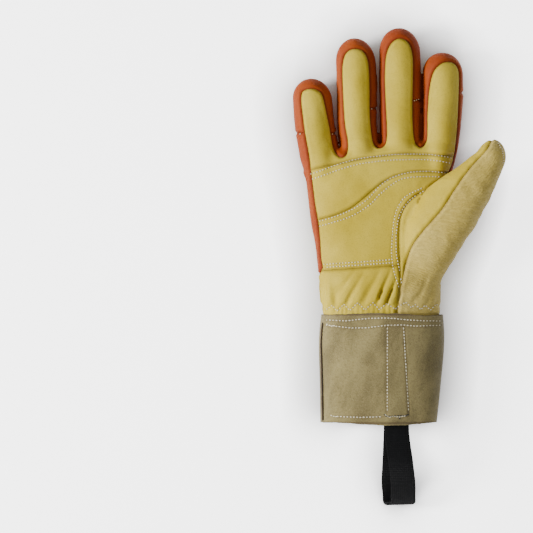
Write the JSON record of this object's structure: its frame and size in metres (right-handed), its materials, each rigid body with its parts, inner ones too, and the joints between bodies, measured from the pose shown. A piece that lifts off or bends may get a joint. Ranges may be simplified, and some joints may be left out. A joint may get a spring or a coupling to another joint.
{
  "type": "hunting glove",
  "caption": "Right-hand leather hunting glove with contrast strips along the fingers, a stitched palm, a wide suede cuff and a webbing pull loop, lying on its back",
  "frame": {"origin": "on the flattened back of the glove, in the middle of the hand above the wrist, at the level of the surface it rests on", "axes": "+X to the thumb side, +Y along the hand to the fingertips, +Z out of the palm"},
  "size_m": [0.1617, 0.3602, 0.0544],
  "materials": {
    "grain_leather": "soft yellow grain leather",
    "orange_leather": "smooth orange leather",
    "suede": "grey-beige split suede",
    "webbing": "black woven webbing",
    "label_cloth": "orange woven label"
  },
  "bodies": {
    "root": {"finger_palm_panel": "grain_leather", "upper_palm_panel": "grain_leather", "palm_patch": "grain_leather", "palm_heel_panel": "grain_leather", "back_panel": "grain_leather", "knuckle_insert": "grain_leather", "thumb_inner_panel": "grain_leather", "thumb_outer_panel": "grain_leather", "thumb_back_panel": "orange_leather", "radial_side_strip": "orange_leather", "fourchette_index_middle": "orange_leather", "fourchette_middle_ring": "orange_leather", "fourchette_ring_little": "orange_leather", "little_tip_band": "orange_leather", "ulnar_side_strip": "orange_leather", "cuff": "suede", "label_band": "webbing", "label_patch": "label_cloth", "pull_loop": "webbing"}
  },
  "joints": []
}
